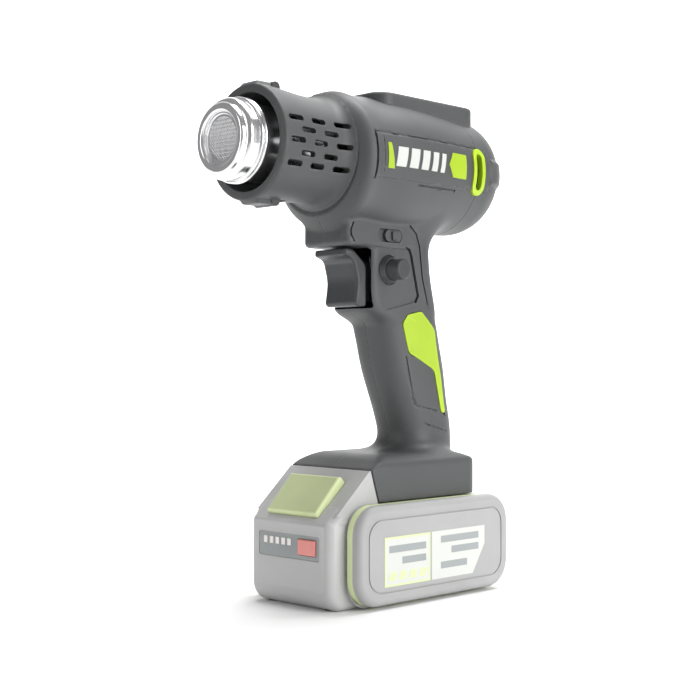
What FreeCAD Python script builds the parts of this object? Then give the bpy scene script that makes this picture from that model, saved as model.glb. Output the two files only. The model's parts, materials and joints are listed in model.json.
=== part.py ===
"""Cordless heat gun with a slide-on battery pack, as separate solids.

Frame: +X is the way the hot air leaves, +Y is the tool's left side, +Z is up.
The origin is under the pack, on the tool's mid-plane, and z = 0 is the face it stands on.
All sizes are in millimetres.
"""

import FreeCAD, Part
import math
import os

os.makedirs("parts", exist_ok=True)

V = FreeCAD.Vector

# Driving dimensions -------------------------------------------------------------------
WALL = 2.4                  # moulded housing wall
AIR_Z = 220.0               # height of the blower, heater and nozzle axis
BARREL_Z = 217.0            # height of the main barrel's own axis
SEAM_X = -41.0              # seam between the clamshell and the rear cap
NOSE_X = 44.6               # front end of the clamshell
REAR_X = -71.0              # rear end of the cap
BARREL_R = 34.0
SHROUD_FRONT_X = 90.0
SHROUD_R = 27.3
SHROUD_BORE_R = 23.0
NOSE_R = 28.2               # shroud and clamshell where they meet
NOZZLE_TIP_X = 106.5
NOZZLE_R = 19.0
GRIP_HALF = 16.0            # half-width of the handle
TOP_Z = 252.0               # flat rest on top
TOP_HALF = 19.5
LOCK_X, LOCK_Z = 9.2, 163.7
SWITCH_X = (0.7, 18.7)      # slide switch recess
SWITCH_Z = (177.5, 184.1)
FOOT_HALF = 28.8
FOOT_Z = (50.0, 72.0)
PACK_NOSE_X = 63.3          # front face of the pack
PACK_NOSE_HALF = 28.0
PACK_BODY_HALF = 30.0
PACK_SPLIT_Z = 42.0         # seam between the pack's two shells
BUMPER_X = (-58.0, 53.5)
BUMPER_Z = (1.6, 49.5)
BUMPER_HALF = 38.0
CELL_R, CELL_LENGTH = 9.1, 65.0
CELL_PITCH = 20.6


# Shape helpers ------------------------------------------------------------------------
def outline(corners, place):
    """Closed wire through (u, v, radius) corners; place turns u and v into a point."""
    starts = []
    middles = []
    ends = []
    count = len(corners)
    for index, (u, v, radius) in enumerate(corners):
        here = V(u, v, 0)
        if radius == 0:
            starts.append(here)
            middles.append(None)
            ends.append(here)
            continue
        back = corners[index - 1]
        ahead = corners[(index + 1) % count]
        to_back = (V(back[0], back[1], 0) - here).normalize()
        to_ahead = (V(ahead[0], ahead[1], 0) - here).normalize()
        half = to_back.getAngle(to_ahead) / 2
        inward = (to_back + to_ahead).normalize()
        centre = here + inward * (radius / math.sin(half))
        starts.append(here + to_back * (radius / math.tan(half)))
        middles.append(centre - inward * radius)
        ends.append(here + to_ahead * (radius / math.tan(half)))
    edges = []
    for index in range(count):
        if middles[index]:
            bend = [place(p.x, p.y) for p in (starts[index], middles[index], ends[index])]
            edges.append(Part.Arc(*bend).toShape())
        leave = ends[index]
        arrive = starts[(index + 1) % count]
        if leave.distanceToPoint(arrive) > 1e-6:
            line = Part.LineSegment(place(leave.x, leave.y), place(arrive.x, arrive.y))
            edges.append(line.toShape())
    return Part.Wire(edges)


def side_prism(corners, y0, y1):
    """An (x, z, radius) outline extruded along Y."""
    face = Part.Face(outline(corners, lambda x, z: V(x, y0, z)))
    return face.extrude(V(0, y1 - y0, 0))


def plan_prism(corners, z0, z1):
    """An (x, y, radius) outline extruded along Z."""
    face = Part.Face(outline(corners, lambda x, y: V(x, y, z0)))
    return face.extrude(V(0, 0, z1 - z0))


def turned(corners, axis_z=AIR_Z):
    """An (x, r, radius) outline turned about an axis along X."""
    face = Part.Face(outline(corners, lambda x, r: V(x, 0, axis_z + r)))
    return face.revolve(V(0, 0, axis_z), V(1, 0, 0), 360)


def box(x0, x1, y0, y1, z0, z1):
    return Part.makeBox(x1 - x0, y1 - y0, z1 - z0, V(x0, y0, z0))


def rod(radius, length, start, direction):
    return Part.makeCylinder(radius, length, V(*start), V(*direction))


def tube(outer, inner, length, start, direction):
    return rod(outer, length, start, direction).cut(rod(inner, length, start, direction))


def joined(shapes):
    first, *rest = shapes
    return first.fuse(rest).removeSplitter() if rest else first


def mirrored(shape):
    return shape.mirror(V(0, 0, 0), V(0, 1, 0))


def stadium(x0, x1, z0, z1, y0, y1):
    """A slot-shaped prism along Y with full round ends on its shorter sides."""
    radius = min(x1 - x0, z1 - z0) / 2 - 0.001
    corners = [(x0, z0, radius), (x1, z0, radius), (x1, z1, radius), (x0, z1, radius)]
    return side_prism(corners, y0, y1)


def rounded_box(x0, x1, z0, z1, radius, y0, y1):
    corners = [(x0, z0, radius), (x1, z0, radius), (x1, z1, radius), (x0, z1, radius)]
    return side_prism(corners, y0, y1)


def edges_at(shape, axis, value):
    """Edges that lie wholly in one plane across an axis, for rounding a face's rim."""
    found = []
    for edge in shape.Edges:
        points = edge.discretize(5)
        if all(abs(getattr(point, axis) - value) < 1e-4 for point in points):
            found.append(edge)
    return found


def rounded_rim(shape, axis, value, radius):
    return shape.makeFillet(radius, edges_at(shape, axis, value))


# Outer forms shared by several pieces ---------------------------------------------------
def barrel(offset=0.0):
    """Turned form of the main barrel and its rear cap, offset from the outer skin."""
    rear = REAR_X - offset
    return turned([
        (NOSE_X + offset, 0, 0),
        (NOSE_X + offset, NOSE_R - 0.7 + offset, 0),
        (41 + offset, BARREL_R + offset, 4),
        (29, BARREL_R - 0.8 + offset, 12),
        (15, BARREL_R + 0.1 + offset, 12),
        (-8, BARREL_R + offset, 20),
        (SEAM_X, BARREL_R - 2.4 + offset, 40),
        (rear, BARREL_R - 4.6 + offset, 20),
        (rear, 0, 0),
    ], BARREL_Z)


# Handle sections: z, back x, front x, half-width, squareness of the rounded outline.
HANDLE = [
    (192.0, -24.0, 22.6, 15.9, 6.0),
    (176.0, -24.0, 22.8, GRIP_HALF, 6.0),
    (160.0, -25.6, 22.9, GRIP_HALF, 6.0),
    (149.0, -28.6, 22.9, GRIP_HALF, 5.6),
    (143.0, -30.6, 21.0, GRIP_HALF, 4.8),
    (137.0, -32.9, 12.6, GRIP_HALF, 3.6),
    (128.0, -35.8, 9.0, GRIP_HALF, 3.0),
    (116.2, -39.4, 6.4, GRIP_HALF, 2.8),
    (97.9, -42.7, -0.6, GRIP_HALF, 2.6),
    (84.0, -45.3, -5.9, GRIP_HALF, 2.6),
    (75.0, -45.6, -8.2, GRIP_HALF, 2.6),
    (68.0, -45.5, -9.6, GRIP_HALF, 2.6),
]
SECTION_POINTS = 28


def handle_section(z, back, front, half_width, power):
    """Rounded-rectangle section whose corners tighten as power grows."""
    centre = (back + front) / 2
    reach = (front - back) / 2
    points = []
    for step in range(SECTION_POINTS):
        angle = 2 * math.pi * step / SECTION_POINTS
        c = math.cos(angle)
        s = math.sin(angle)
        size = (abs(c) ** power + abs(s) ** power) ** (-1 / power)
        points.append(V(centre + reach * c * size, half_width * s * size, z))
    curve = Part.BSplineCurve()
    curve.interpolate(points, PeriodicFlag=True)
    return Part.Wire(curve.toShape())


def handle(offset=0.0):
    """Lofted handle, offset from the outer skin, running up into the barrel."""
    sections = [
        handle_section(z, back - offset, front + offset, half + offset, power)
        for z, back, front, half, power in HANDLE
    ]
    return Part.makeLoft(sections, True, False)


def ahead_of_foot(clearance):
    """Everything ahead of the foot's slanted front edge."""
    return side_prism([
        (27.0 + clearance, 40, 0),
        (90, 40, 0),
        (90, 90, 0),
        (36.3 + clearance, 90, 0),
        (35.3 + clearance, 65.7, 0),
    ], -60, 60)


# Screw places: x, z, inner half-length of the boss, and how deep the head sits.
SCREWS = [
    (31.0, 245.0, 15.0, 10.0),
    (-30.0, 243.2, 15.0, 10.0),
    (-26.5, 194.0, 17.0, 13.0),
    (31.5, 182.5, 14.5, 12.0),
    (-18.5, 178.0, 14.5, 12.0),
    (4.0, 140.0, 14.0, 12.0),
    (-33.0, 104.0, 12.5, 10.5),
]
SCREW_HEAD_R = 2.4
SCREW_SHANK_R = 1.3
BOSS_R = 3.1


def housing_halves():
    """Clamshell with the barrel, trigger guard, handle and the pack's foot."""
    guard = side_prism([
        (40.0, 174.6, 2.5), (40.0, 205, 0), (0, 205, 0), (0, 176, 0),
    ], -GRIP_HALF, GRIP_HALF)
    upright = [edge for edge in guard.Edges
               if abs(edge.Vertexes[0].Z - edge.Vertexes[-1].Z) > 20
               and edge.Vertexes[0].X > 39]
    guard = guard.makeFillet(4.5, upright)
    foot = plan_prism([
        (-45.5, -FOOT_HALF, 9), (-45.5, FOOT_HALF, 9), (40, FOOT_HALF, 0), (40, -FOOT_HALF, 0),
    ], FOOT_Z[0], FOOT_Z[1])
    roof = side_prism([
        (-60, 40, 0), (60, 40, 0), (60, 50.2, 0), (35.3, 65.7, 0), (24.5, 72.3, 6),
        (-33, 72.3, 8), (-46, 66.5, 0), (-60, 60, 0),
    ], -40, 40)
    shoulders = Part.Face(outline([
        (-FOOT_HALF - 1, 40, 0), (FOOT_HALF + 1, 40, 0), (FOOT_HALF + 1, 67.6, 0),
        (21, 73.5, 0), (-21, 73.5, 0), (-FOOT_HALF - 1, 67.6, 0),
    ], lambda y, z: V(-60, y, z))).extrude(V(120, 0, 0))
    foot = foot.common(roof).common(shoulders).cut(ahead_of_foot(0))
    flare = Part.makeLoft([
        handle_section(87.0, -44.4, -5.2, 15.7, 2.6),
        handle_section(79.0, -45.2, -2.6, 17.0, 2.6),
        handle_section(73.0, -45.4, 3.0, 20.5, 2.8),
        handle_section(68.0, -45.4, 12.0, 27.0, 3.0),
    ], True, False)
    skin = barrel().common(box(SEAM_X, NOSE_X, -60, 60, 100, 300))
    collar = rod(NOSE_R, NOSE_X - 40, (40, 0, AIR_Z), (1, 0, 0))
    outer = handle().fuse(skin.fuse(collar)).fuse(guard).fuse([foot, flare])

    barrel_room = barrel(-WALL).common(box(SEAM_X - 1, 60, -60, 60, 150, 300))
    front_room = rod(SHROUD_BORE_R - 0.6, 20, (36, 0, AIR_Z), (1, 0, 0))
    handle_room = handle(-WALL).common(box(-80, 80, -60, 60, 73.5, 190.5))
    guard_room = box(8, 40.0 - WALL, -13.5, 13.5, 174.6 + WALL, 196)
    pack_room = box(-42.5, 60, -25.3, 25.3, 53.8, 65.0).fuse(
        box(-42.5, 60, -21.9, 21.9, 40, 54))
    rear_mouth = rod(29.0, 6, (SEAM_X - 2, 0, BARREL_Z), (1, 0, 0))
    room = barrel_room.fuse([front_room, handle_room, guard_room, rear_mouth])
    shell = outer.cut([room, pack_room])

    bosses = [rod(BOSS_R, 2 * half, (x, -half, z), (0, 1, 0)) for x, z, half, _ in SCREWS]
    shell = shell.fuse([boss.common(outer) for boss in bosses])
    holes = []
    for x, z, _, depth in SCREWS:
        holes.append(rod(SCREW_SHANK_R + 0.04, depth + 9, (x, -depth, z), (0, 1, 0)))
        holes.append(rod(SCREW_HEAD_R + 0.15, 60, (x, -depth, z), (0, -1, 0)))
    trigger_mouth = box(13, 40, -13.8, 13.8, 144.4, 174.0)
    lock_seat = rod(7.5, 20, (LOCK_X, GRIP_HALF - 0.8, LOCK_Z), (0, 1, 0))
    lock_bore = rod(5.5, 20, (LOCK_X, 5, LOCK_Z), (0, 1, 0))
    slide_seat = stadium(*SWITCH_X, *SWITCH_Z, GRIP_HALF - 1.6, 30)
    slide_slot = box(3.4, 16.0, 10, 30, 179.2, 182.4)
    cuts = holes + [trigger_mouth, lock_seat, lock_bore, slide_seat, slide_slot,
                    bezel_pocket(), mirrored(bezel_pocket()),
                    insert_pocket(), mirrored(insert_pocket())]
    shell = shell.cut(cuts)
    left = shell.common(box(-120, 120, 0, 60, 0, 300))
    right = shell.common(box(-120, 120, -60, 0, 0, 300))
    return left, right


# Side trim ------------------------------------------------------------------------------
BEZEL_X = (-46.0, -35.8)
BEZEL_Z = (203.9, 228.2)


def bezel_pocket():
    return stadium(*BEZEL_X, *BEZEL_Z, 20, 60)


def bezel():
    """Lime ring around the side air slot, half on the clamshell and half on the cap."""
    ring = stadium(BEZEL_X[0] + 0.1, BEZEL_X[1] - 0.1, BEZEL_Z[0] + 0.1, BEZEL_Z[1] - 0.1, 20, 60)
    slot = stadium(BEZEL_X[0] + 2.8, BEZEL_X[1] - 2.8, BEZEL_Z[0] + 2.8, BEZEL_Z[1] - 2.8, 10, 60)
    return ring.common(barrel(1.1)).cut([barrel(-1.8), slot])


INSERT = [(-13.7, 143.6, 3), (-25.0, 134.3, 4), (-33.6, 90.0, 1.5), (-29.4, 92.2, 1),
          (-23.9, 113.6, 5), (-5.0, 122.5, 4), (-0.3, 137.3, 3), (-3.5, 141.5, 3)]


def insert_pocket():
    return side_prism(INSERT, 5, 40).cut(handle(-1.0))


def grip_insert():
    """Soft lime panel let into the side of the handle."""
    blade = side_prism(INSERT, 5, 40).common(handle(0.35))
    return blade.cut(handle(-0.95))


def label_plate():
    """Thin blank plate bent round the barrel's side."""
    shape = rounded_box(-29.6, 29.0, 211.0, 223.4, 0.8, 10, 60)
    return shape.common(barrel(0.55)).cut(barrel(0.05))


def top_plate():
    """Flat rest along the top of the barrel; it laps over the rear cap."""
    plan = [(19.5, -TOP_HALF, 9), (19.5, TOP_HALF, 9), (-55, TOP_HALF, 6), (-55, -TOP_HALF, 6)]
    block = rounded_rim(plan_prism(plan, 236, TOP_Z), "z", TOP_Z, 1.6)
    return block.cut(barrel(0.06))


def rear_cap():
    clip = box(-100, SEAM_X - 0.15, -60, 60, 100, 300)
    band = barrel(1.2).common(box(-100, -47.5, -60, 60, 211, 223))
    band = band.cut(barrel(-0.5))
    cap = barrel().cut(barrel(-WALL)).common(clip).fuse(band)
    slots = []
    for z in (196.0, 201.5, 232.5, 238.0):
        reach = 15.0 if abs(z - BARREL_Z) < 18 else 11.0
        slots.append(plan_prism([
            (-90, -reach, 0), (-60, -reach, 0), (-60, reach, 0), (-90, reach, 0),
        ], z - 1.4, z + 1.4))
    return cap.cut(slots + [bezel_pocket(), mirrored(bezel_pocket())])


# Nozzle and heater ------------------------------------------------------------------------
SLOT_LENGTH, SLOT_WIDTH = 9.4, 2.6
LONG_ROW_X = (81.7, 66.4, 51.1)
SHORT_ROW_X = (74.4, 58.9)
SLOT_ROWS = [(229.5, LONG_ROW_X), (224.4, SHORT_ROW_X), (219.2, LONG_ROW_X),
             (213.6, SHORT_ROW_X), (208.7, LONG_ROW_X)]
BAR_X, BAR_R, BAR_RING = 77.5, 2.7, 26.6
PAD_R = 28.8                # top of the raised pad ahead of each cross bar


def front_shroud():
    """Vented sleeve round the heater, with a seat above and below for a cross bar."""
    sleeve = turned([
        (SHROUD_FRONT_X, SHROUD_BORE_R, 0.8), (SHROUD_FRONT_X, SHROUD_R, 1.6),
        (82, SHROUD_R, 20), (60, 25.7, 20), (51, 25.6, 8), (NOSE_X + 0.1, NOSE_R, 0),
        (NOSE_X + 0.1, SHROUD_BORE_R, 0),
    ])
    spigot = tube(SHROUD_BORE_R - 0.8, 21.0, 9, (38.5, 0, AIR_Z), (1, 0, 0))
    shoulder = tube(SHROUD_BORE_R + 0.5, 21.0, 3, (NOSE_X + 0.1, 0, AIR_Z), (1, 0, 0))
    pads = []
    for side in (-1, 1):
        z0, z1 = sorted((AIR_Z + side * 20, AIR_Z + side * PAD_R))
        pads.append(rounded_rim(box(78, 88.5, -6, 6, z0, z1), "z", AIR_Z + side * PAD_R, 1.0))
    room = rod(SHROUD_BORE_R, 60, (40, 0, AIR_Z), (1, 0, 0))
    sleeve = sleeve.fuse([pad.cut(room) for pad in pads])
    slots = []
    for z, places in SLOT_ROWS:
        for x in places:
            slot = (x - SLOT_LENGTH / 2, x + SLOT_LENGTH / 2, z - SLOT_WIDTH / 2, z + SLOT_WIDTH / 2)
            slots.append(stadium(*slot, -40, -8))
            slots.append(stadium(*slot, 8, 40))
    seats = []
    for side in (-1, 1):
        z = AIR_Z + side * BAR_RING
        seats.append(rod(BAR_R, 14.2, (BAR_X, -7.1, z), (0, 1, 0)))
        seats.append(box(70.5, 75.5, -5, 5, z - 1.6 - side * 0.8, z + 1.6 - side * 0.8))
    return sleeve.fuse([spigot, shoulder]).cut(slots + seats)


def cross_bars():
    bars = []
    for side in (-1, 1):
        bar = rod(BAR_R - 0.02, 14, (BAR_X, -7, AIR_Z + side * BAR_RING), (0, 1, 0))
        bars.append(bar.makeFillet(0.5, edges_at(bar, "y", -7) + edges_at(bar, "y", 7)))
    return Part.Compound(bars)


def nozzle():
    """Steel nozzle: a plain round nose with two beads and a stepped mouth."""
    wall = turned([
        (92.6, NOZZLE_R - 0.8, 0), (92.6, NOZZLE_R, 0), (103.4, NOZZLE_R, 2.2),
        (104.2, 16.6, 0.6), (NOZZLE_TIP_X, 16.35, 1.3), (NOZZLE_TIP_X, 12.6, 1.3),
        (105.0, 12.3, 0.2), (104.9, 11.4, 0.3), (104.3, 11.2, 0.2), (104.3, 10.2, 0),
        (103.9, 10.2, 0), (103.9, 12.0, 0), (103.0, 12.0, 0), (103.0, 15.0, 1.0),
        (101.6, NOZZLE_R - 0.8, 0.6),
    ])
    beads = [Part.makeTorus(NOZZLE_R + 0.15, 0.85, V(x, 0, AIR_Z), V(1, 0, 0)) for x in (94.5, 96.7)]
    return joined([wall] + beads)


MESH_R = 11.6


def nozzle_mesh():
    """Guard mesh held behind the mouth's inner ring: a rim and two crossing sets of bars."""
    rim = tube(MESH_R, 10.4, 0.6, (103.2, 0, AIR_Z), (1, 0, 0))
    disc = rod(10.6, 0.4, (103.3, 0, AIR_Z), (1, 0, 0))
    bars = []
    for step in range(-4, 5):
        place = 2.4 * step
        bars.append(box(103.3, 103.7, place - 0.45, place + 0.45, AIR_Z - 11, AIR_Z + 11))
        bars.append(box(103.3, 103.7, -11, 11, AIR_Z + place - 0.45, AIR_Z + place + 0.45))
    grid = bars[0].fuse(bars[1:]).common(disc)
    return joined([rim, grid])


def heater_former():
    """Mica cross that carries the heating wire, with a disc at each end."""
    blades = [box(54, 96, -14.8, 14.8, AIR_Z - 0.5, AIR_Z + 0.5),
              box(54, 96, -0.5, 0.5, AIR_Z - 14.8, AIR_Z + 14.8)]
    return joined(blades)


def heating_coil():
    turns = [Part.makeTorus(15.6, 0.55, V(57 + 3.6 * turn, 0, AIR_Z), V(1, 0, 0))
             for turn in range(11)]
    return Part.Compound(turns)


# Blower -----------------------------------------------------------------------------------
DUCT_R = 22.0
DUCT_WALL = 1.2
FAN_X = (-15.0, -5.0)
MOTOR_X = (1.0, 34.0)
MOTOR_R = 13.5
SHAFT_R = 1.5


def air_duct():
    return turned([
        (-22, DUCT_R - DUCT_WALL, 0), (-22, DUCT_R, 0), (24, DUCT_R, 14),
        (42.5, DUCT_R - 1.6, 0), (42.5, DUCT_R - 1.6 - DUCT_WALL, 0),
        (24, DUCT_R - DUCT_WALL, 14),
    ])


def motor_mount():
    """Ring pressed in the duct, with four vanes to the motor's clamp."""
    ring = tube(DUCT_R - DUCT_WALL, 19.8, 8, (6, 0, AIR_Z), (1, 0, 0))
    hub = tube(15.0, MOTOR_R, 8, (6, 0, AIR_Z), (1, 0, 0))
    vanes = []
    for turn in range(4):
        vane = box(6, 14, -0.9, 0.9, AIR_Z + 14.4, AIR_Z + 20.3)
        vane.rotate(V(0, 0, AIR_Z), V(1, 0, 0), 45 + 90 * turn)
        vanes.append(vane)
    return joined([ring, hub] + vanes)


def motor_can():
    """Steel can, open inside, with a boss for a bearing at each end."""
    body = rod(MOTOR_R, MOTOR_X[1] - MOTOR_X[0], (MOTOR_X[0], 0, AIR_Z), (1, 0, 0))
    room = rod(12.4, MOTOR_X[1] - MOTOR_X[0] - 5, (MOTOR_X[0] + 2.5, 0, AIR_Z), (1, 0, 0))
    bore = rod(4.0, 60, (-10, 0, AIR_Z), (1, 0, 0))
    return body.cut([room, bore])


def motor_magnets():
    ring = tube(12.4, 10.9, 20, (8, 0, AIR_Z), (1, 0, 0))
    gap = box(0, 40, -3, 3, AIR_Z - 20, AIR_Z + 20)
    return ring.cut(gap)


def motor_bearings():
    ends = (MOTOR_X[0], MOTOR_X[1] - 2.5)
    return Part.Compound([tube(4.0, SHAFT_R + 0.05, 2.5, (x, 0, AIR_Z), (1, 0, 0)) for x in ends])


def motor_rotor():
    core = tube(10.3, SHAFT_R, 18, (9, 0, AIR_Z), (1, 0, 0))
    collector = tube(3.6, SHAFT_R, 4, (27, 0, AIR_Z), (1, 0, 0))
    slots = []
    for turn in range(5):
        slot = box(8, 28, -0.8, 0.8, AIR_Z + 6.5, AIR_Z + 12)
        slot.rotate(V(0, 0, AIR_Z), V(1, 0, 0), 72 * turn)
        slots.append(slot)
    return core.cut(slots).fuse(collector).removeSplitter()


def motor_shaft():
    return rod(SHAFT_R, 52, (-17, 0, AIR_Z), (1, 0, 0))


def fan_impeller():
    """Axial fan: a round hub and seven pitched blades."""
    hub = turned([(FAN_X[0] - 1, SHAFT_R, 0), (FAN_X[0] - 1, 7.5, 3), (FAN_X[1], 7.5, 0),
                  (FAN_X[1], SHAFT_R, 0)])
    middle = (FAN_X[0] + FAN_X[1]) / 2
    blades = []
    for turn in range(7):
        blade = box(middle - 5.6, middle + 5.6, -0.7, 0.7, AIR_Z + 6.5, AIR_Z + 22)
        blade.rotate(V(middle, 0, AIR_Z), V(0, 0, 1), 38)
        blade.rotate(V(0, 0, AIR_Z), V(1, 0, 0), 360 / 7 * turn)
        blades.append(blade)
    tips = rod(DUCT_R - DUCT_WALL - 0.6, 20, (FAN_X[0] - 4, 0, AIR_Z), (1, 0, 0))
    return hub.fuse([blade.common(tips) for blade in blades])


# Controls ---------------------------------------------------------------------------------
def trigger():
    """Finger paddle with a hollowed front and a stem to the switch."""
    paddle = side_prism([
        (20.8, 145.2, 1.5), (29.2, 145.2, 2.2), (27.2, 157.5, 16), (30.2, 168.2, 5),
        (36.0, 170.2, 1.0), (36.0, 173.4, 1.0), (30.0, 173.4, 6), (20.8, 166.0, 6),
    ], -11.2, 11.2)
    rims = [edge for edge in paddle.Edges
            if edge.BoundBox.YLength < 0.01 and edge.BoundBox.XMin > 22]
    paddle = paddle.makeFillet(1.6, rims)
    back = box(14.6, 22, -7.2, 7.2, 148.0, 168.0)
    stem = box(3.6, 15, -3, 3, 157, 165)
    return joined([paddle, back, stem])


def ring_stack(radius, wire, start, pitch, count, axis):
    """A spring drawn as closed rings, one per turn."""
    rings = []
    for turn in range(count):
        centre = V(*start) + V(*axis) * (pitch * turn)
        rings.append(Part.makeTorus(radius, wire, centre, V(*axis)))
    return Part.Compound(rings)


def lock_collar():
    seat = Part.makeCone(7.2, 6.0, 3.0, V(LOCK_X, GRIP_HALF - 0.8, LOCK_Z), V(0, 1, 0))
    return seat.cut(rod(5.45, 20, (LOCK_X, 5, LOCK_Z), (0, 1, 0)))


def lock_button():
    """Push button with a rounded face and a stem that reaches towards the trigger."""
    cap = rod(5.1, 15.4, (LOCK_X, 10.6, LOCK_Z), (0, 1, 0))
    cap = rounded_rim(cap, "y", 26.0, 1.2)
    return cap.cut(rod(3.9, 6, (LOCK_X, 10.6, LOCK_Z), (0, 1, 0)))


def mode_slider():
    """Slide switch knob: a low pad with a raised ridge and a stem through the wall."""
    pad = stadium(SWITCH_X[0] + 0.3, SWITCH_X[0] + 12.2, SWITCH_Z[0] + 0.3, SWITCH_Z[1] - 0.3,
                  GRIP_HALF - 1.5, GRIP_HALF + 0.3)
    ridge = rounded_box(4.6, 8.6, 178.7, 182.9, 0.8, GRIP_HALF + 0.2, GRIP_HALF + 1.4)
    stem = box(3.9, 9.0, 12.0, GRIP_HALF - 1.4, 179.6, 182.0)
    return joined([pad, ridge, stem])


def switch_body():
    return rounded_box(-19.5, -4.5, 150, 171, 1.5, -8.5, 8.5)


def control_board():
    return box(-20, 28, -9.5, 9.5, 187.4, 189.0)


def heat_sink():
    """Finned aluminium block on the control board."""
    base = box(-12, 12, -8, 8, 189.0, 190.2)
    fins = [box(-12 + 4.6 * fin, -10.8 + 4.6 * fin, -8, 8, 190.0, 192.6) for fin in range(6)]
    return joined([base] + fins)


def battery_leads():
    """Two leads from the contacts up to the switch."""
    lower = V(-27, 0, 74)
    upper = V(-13, 0, 149.8)
    run = upper - lower
    leads = []
    for side in (-4.5, 4.5):
        start = (lower.x, side, lower.z)
        leads.append(rod(1.3, run.Length, start, (run.x, 0, run.z)))
    return Part.Compound(leads)


# Contacts between the tool and the pack -------------------------------------------------
BLADE_Y = (-12.0, 0.0, 12.0)


def terminal_block():
    """Moulded carrier at the back of the foot's channel."""
    block = box(-42.4, -36.2, -18, 18, 55.2, 64.8)
    return block.cut([box(-41.4, -36, y - 0.4, y + 0.4, 56.5, 63.5) for y in BLADE_Y])


def terminal_blades():
    return Part.Compound([box(-41.4, -25, y - 0.4, y + 0.4, 56.5, 63.5) for y in BLADE_Y])


# Battery pack ------------------------------------------------------------------------------
def pack_middle():
    """Wider band that the bumpers sit against."""
    return side_prism([
        (-57, 0.8, 10), (51.5, 0.8, 10), (51.5, 48.4, 10), (-57, 48.4, 10),
    ], -PACK_BODY_HALF, PACK_BODY_HALF)


def pack_cheeks():
    """Low bosses that fill the back of each bumper."""
    x0, x1 = BUMPER_X
    z0, z1 = BUMPER_Z
    return rounded_box(x0 + 3.2, x1 - 3.2, z0 + 3.2, z1 - 3.2, 11, -34.6, 34.6)


def pack_tower():
    """Rails that slide into the foot's channel, and the step that meets its front edge."""
    head = box(-35.6, 34, -24.9, 24.9, 54.2, 64.6)
    neck = box(-41.8, 34, -21.5, 21.5, 46, 54.5)
    cheek = box(20, 70, -PACK_NOSE_HALF, PACK_NOSE_HALF, 45, 65.3)
    slope = side_prism([
        (20, 40, 0), (PACK_NOSE_X, 40, 0), (PACK_NOSE_X, 41.0, 0), (36.2, 65.3, 0), (20, 65.3, 0),
    ], -40, 40)
    nose = cheek.common(slope).common(ahead_of_foot(0.4))
    slots = [box(-36, -20.8, y - 0.9, y + 0.9, 56.0, 64.0) for y in BLADE_Y]
    return head.fuse([neck, nose]).cut(slots)


def pack_shells():
    """Lower and upper shells, hollow round the cells."""
    body = side_prism([
        (-56.5, 0, 9), (PACK_NOSE_X, 0, 10), (PACK_NOSE_X, 41.4, 3), (55, 49.0, 0),
        (-56.5, 49.0, 9),
    ], -PACK_NOSE_HALF, PACK_NOSE_HALF)
    upright = [edge for edge in body.Edges if edge.BoundBox.ZLength > 20
               and edge.BoundBox.XMin > 60 and edge.BoundBox.XLength < 0.1]
    body = body.makeFillet(4.0, upright)
    outer = body.fuse([pack_middle(), pack_cheeks(), pack_tower()])
    room = rounded_box(-54.4, 50.6, 3.0, 45.8, 6, -33.2, 33.2)
    tower_room = box(-20, 30, -18, 18, 44, 60)
    gauge_room = box(50, 60.2, -20, 20, 20, 38)
    mouth = Part.Face(outline([
        (-21.3, 23.6, 1.2), (21.3, 23.6, 1.2), (21.3, 35.4, 1.2), (-21.3, 35.4, 1.2),
    ], lambda y, z: V(PACK_NOSE_X - 1.4, y, z))).extrude(V(5, 0, 0))
    shell = outer.cut([room, tower_room, gauge_room, mouth, latch_pocket(), gauge_button_way()])
    drills = []
    for x, y in PACK_SCREWS:
        drills.append(rod(3.0, 2.4, (x, y, 0), (0, 0, 1)))
        drills.append(rod(1.55, 8, (x, y, 0), (0, 0, 1)))
    shell = shell.cut(drills)
    lower = shell.common(box(-90, 90, -60, 60, -1, PACK_SPLIT_Z))
    upper = shell.common(box(-90, 90, -60, 60, PACK_SPLIT_Z, 90))
    return lower, upper


PACK_SCREWS = [(-34.5, 14.0), (-34.5, -14.0), (54.5, 20.0), (54.5, -20.0)]

LATCH_HALF = 17.4
SLOPE = math.atan2(65.3 - 41.0, PACK_NOSE_X - 36.2)
DOWN = V(math.cos(SLOPE), 0, -math.sin(SLOPE))
OUT = V(math.sin(SLOPE), 0, math.cos(SLOPE))


def latch_block(width, top, bottom):
    """Slab on the slope; top and bottom are heights above the slope's own plane."""
    upper = V(36.2, 0, 65.3) + DOWN * 8.6
    lower = V(36.2, 0, 65.3) + DOWN * 32.2
    raised = (4.6, 2.9)
    corners = [
        upper + OUT * bottom,
        lower + OUT * bottom,
        lower + OUT * (raised[1] + top),
        upper + OUT * (raised[0] + top),
    ]
    grow = width - LATCH_HALF
    corners[0] -= DOWN * grow
    corners[3] -= DOWN * grow
    corners[1] += DOWN * grow
    corners[2] += DOWN * grow
    wire = Part.makePolygon([V(c.x, -width, c.z) for c in corners + corners[:1]])
    return Part.Face(wire).extrude(V(0, 2 * width, 0))


def latch_pocket():
    return latch_block(LATCH_HALF + 0.35, 3.0, -7.6)


def latch_button():
    """Lime release button on the pack's slope; it presses in against a spring."""
    block = latch_block(LATCH_HALF, 0.0, -2.2)
    top = [edge for edge in block.Edges
           if all((vertex.Point - V(36.2, 0, 65.3)).dot(OUT) > 1.5 for vertex in edge.Vertexes)]
    return block.makeFillet(1.4, top)


def latch_spring():
    foot = V(36.2, 0, 65.3) + DOWN * 20 + OUT * -7.0
    return ring_stack(3.2, 0.4, (foot.x, foot.y, foot.z), 1.3, 4, (OUT.x, OUT.y, OUT.z))


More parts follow.
